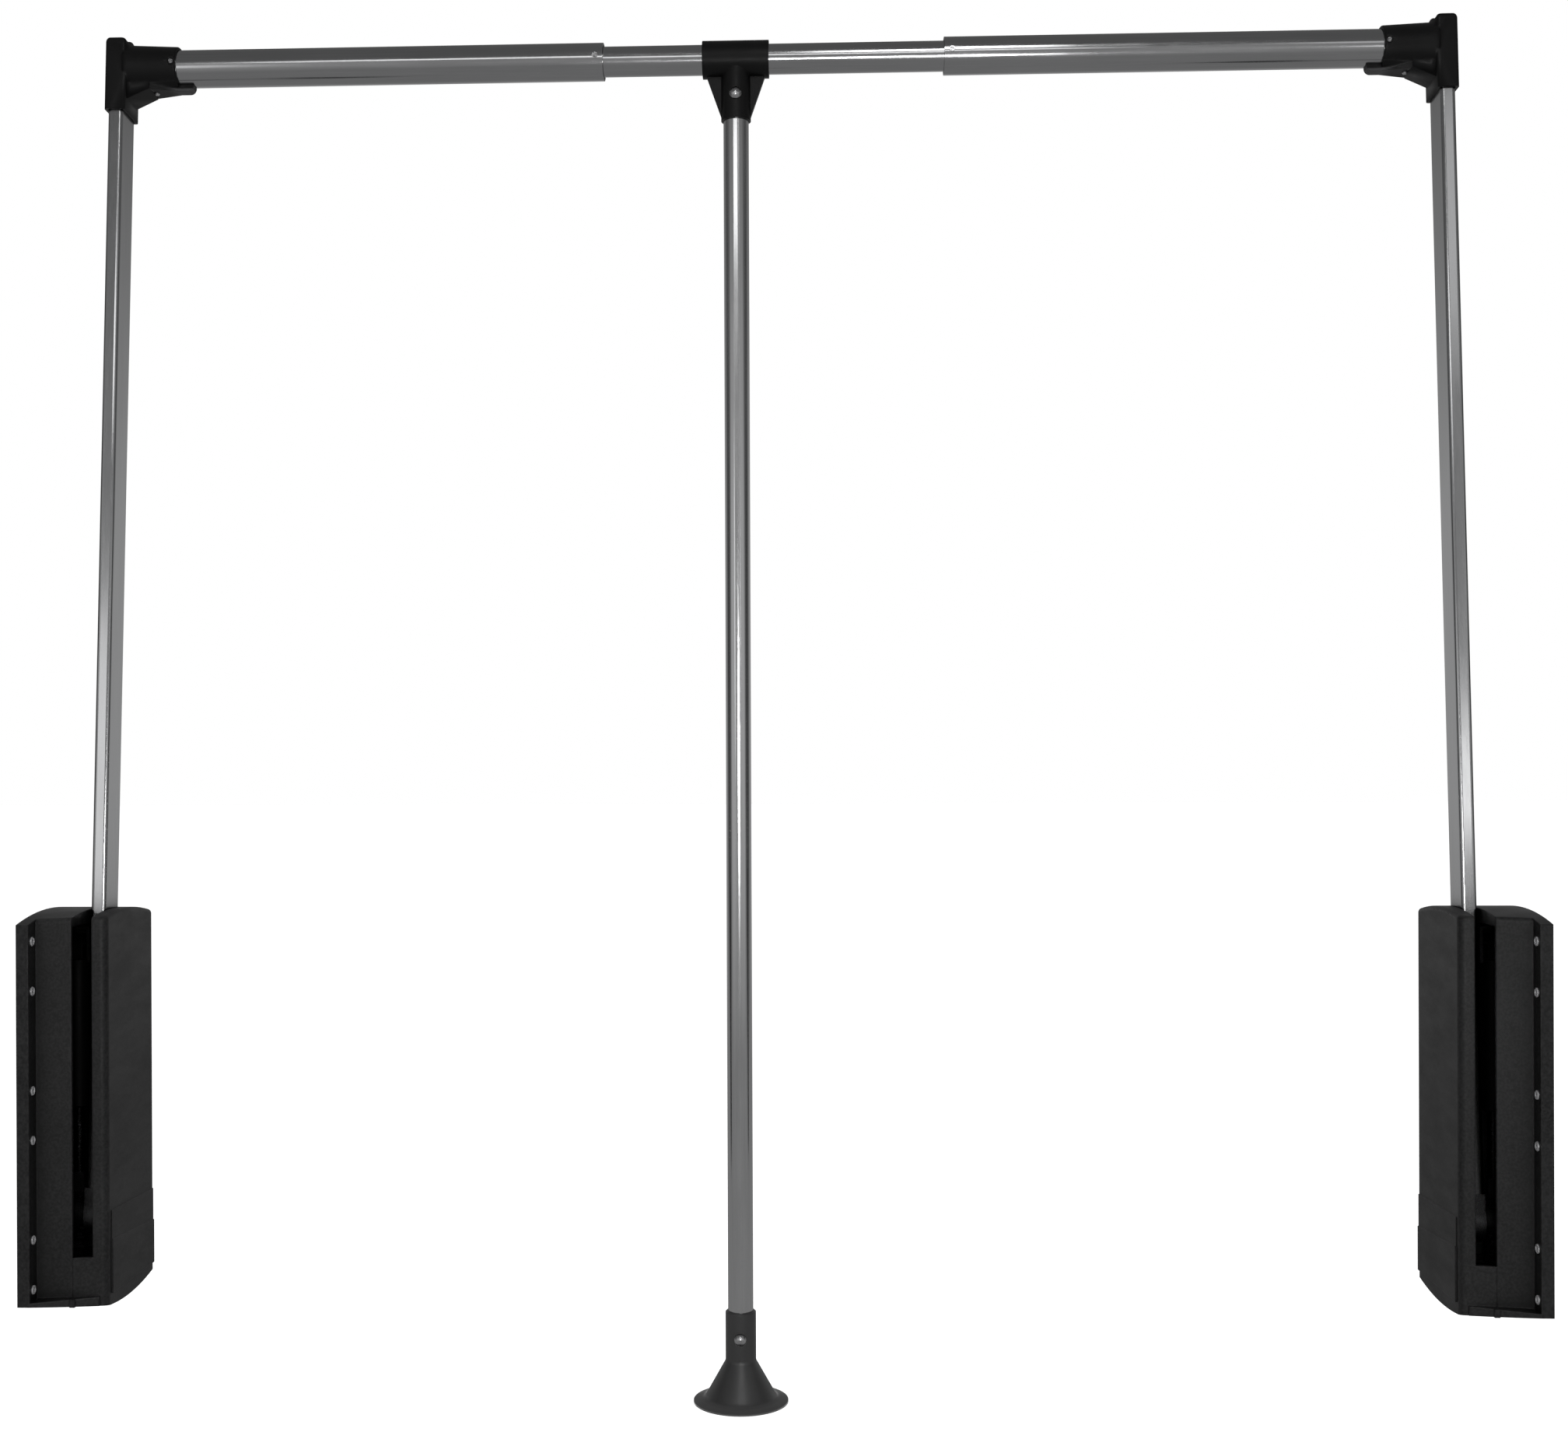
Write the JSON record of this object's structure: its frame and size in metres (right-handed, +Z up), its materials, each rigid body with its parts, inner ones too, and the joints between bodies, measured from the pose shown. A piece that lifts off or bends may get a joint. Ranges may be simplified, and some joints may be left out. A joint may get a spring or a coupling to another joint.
{
  "type": "pull-down closet rod",
  "caption": "Wardrobe lift: chromed arms in spring-assisted side casings swing a telescopic hanging rail down and forward when its hanging pull rod is drawn.",
  "frame": {"origin": "on the left casing's wall-side mounting face, at the axis about which the arms swing", "axes": "+X along the rail from the left wardrobe side to the right one, -Y towards the person in front, +Z up"},
  "size_m": [0.97, 0.1303, 0.9302],
  "materials": {
    "casing_plastic": "charcoal, fine moulded texture with a soft sheen",
    "moulded_plastic": "black, satin moulded",
    "bearing_plastic": "black acetal, satin",
    "chromed_tube": "polished chrome plate",
    "bright_steel": "bright turned steel",
    "zinc_steel": "zinc plated, dull",
    "cast_zinc": "die-cast zinc, fine blasted",
    "black_enamel": "gloss black enamel"
  },
  "bodies": {
    "left_housing": {"left_outer_shell": "casing_plastic", "left_inner_shell": "casing_plastic", "left_mounting_eyelets": "zinc_steel", "left_casing_screws": "zinc_steel", "left_chassis": "zinc_steel", "left_pivot_bushes": "bearing_plastic", "left_rack_guide": "bearing_plastic", "left_gas_cylinder": "black_enamel", "left_anchor_pin": "bright_steel"},
    "left_arm": {"left_pivot_shaft": "bright_steel", "left_retaining_ring": "bright_steel", "left_gear_sector": "cast_zinc", "left_arm_hub": "cast_zinc", "left_arm_tube": "chromed_tube", "left_arm_rivets": "chromed_tube", "left_corner_connector": "moulded_plastic", "left_connector_screws": "bright_steel", "left_outer_tube": "chromed_tube", "left_tube_liner": "bearing_plastic", "left_lock_screw": "bright_steel"},
    "left_rack": {"left_rack": "bearing_plastic", "left_piston_rod": "bright_steel"},
    "inner_bar": {"inner_tube": "chromed_tube"},
    "handle": {"handle_bracket": "moulded_plastic", "handle_tube": "chromed_tube", "handle_foot": "moulded_plastic", "bracket_screw": "bright_steel", "foot_screw": "bright_steel"},
    "right_arm": {"right_pivot_shaft": "bright_steel", "right_retaining_ring": "bright_steel", "right_gear_sector": "cast_zinc", "right_arm_hub": "cast_zinc", "right_arm_tube": "chromed_tube", "right_arm_rivets": "chromed_tube", "right_corner_connector": "moulded_plastic", "right_connector_screws": "bright_steel", "right_outer_tube": "chromed_tube", "right_tube_liner": "bearing_plastic", "right_lock_screw": "bright_steel"},
    "right_rack": {"right_rack": "bearing_plastic", "right_piston_rod": "bright_steel"},
    "right_housing": {"right_outer_shell": "casing_plastic", "right_inner_shell": "casing_plastic", "right_mounting_eyelets": "zinc_steel", "right_casing_screws": "zinc_steel", "right_chassis": "zinc_steel", "right_pivot_bushes": "bearing_plastic", "right_rack_guide": "bearing_plastic", "right_gas_cylinder": "black_enamel", "right_anchor_pin": "bright_steel"}
  },
  "joints": [
    {"name": "arm_swing", "type": "hinge", "parent": "left_housing", "child": "left_arm", "pos_m": [0, 0, 0], "axis": [1, 0, 0], "range_deg": [0, 97], "stiffness_Nm_per_rad": 12, "springref_deg": -28.65},
    {"name": "left_rack_slide", "type": "slide", "parent": "left_housing", "child": "left_rack", "axis": [0, 0, 1], "range_m": [0, 0.034]},
    {"name": "left_telescope", "type": "slide", "parent": "left_arm", "child": "inner_bar", "axis": [1, 0, 0], "range_m": [-0.06, 0.12]},
    {"name": "right_telescope", "type": "slide", "parent": "inner_bar", "child": "right_arm", "axis": [1, 0, 0], "range_m": [-0.06, 0.12]},
    {"name": "right_arm_swing", "type": "hinge", "parent": "right_arm", "child": "right_housing", "pos_m": [0.97, 0, 0], "axis": [1, 0, 0], "range_deg": [-97, 0]},
    {"name": "right_rack_slide", "type": "slide", "parent": "right_housing", "child": "right_rack", "axis": [0, 0, 1], "range_m": [0, 0.034]},
    {"name": "handle_swing", "type": "hinge", "parent": "inner_bar", "child": "handle", "pos_m": [0.4595, 0.05413, 0.77411], "axis": [1, 0, 0], "range_deg": [-100, 100]}
  ],
  "couplings": [
    {"joint": "left_rack_slide", "follows": "arm_swing", "m_per_rad": 0.02},
    {"joint": "right_arm_swing", "follows": "arm_swing", "ratio": -1},
    {"joint": "right_rack_slide", "follows": "arm_swing", "m_per_rad": 0.02}
  ]
}
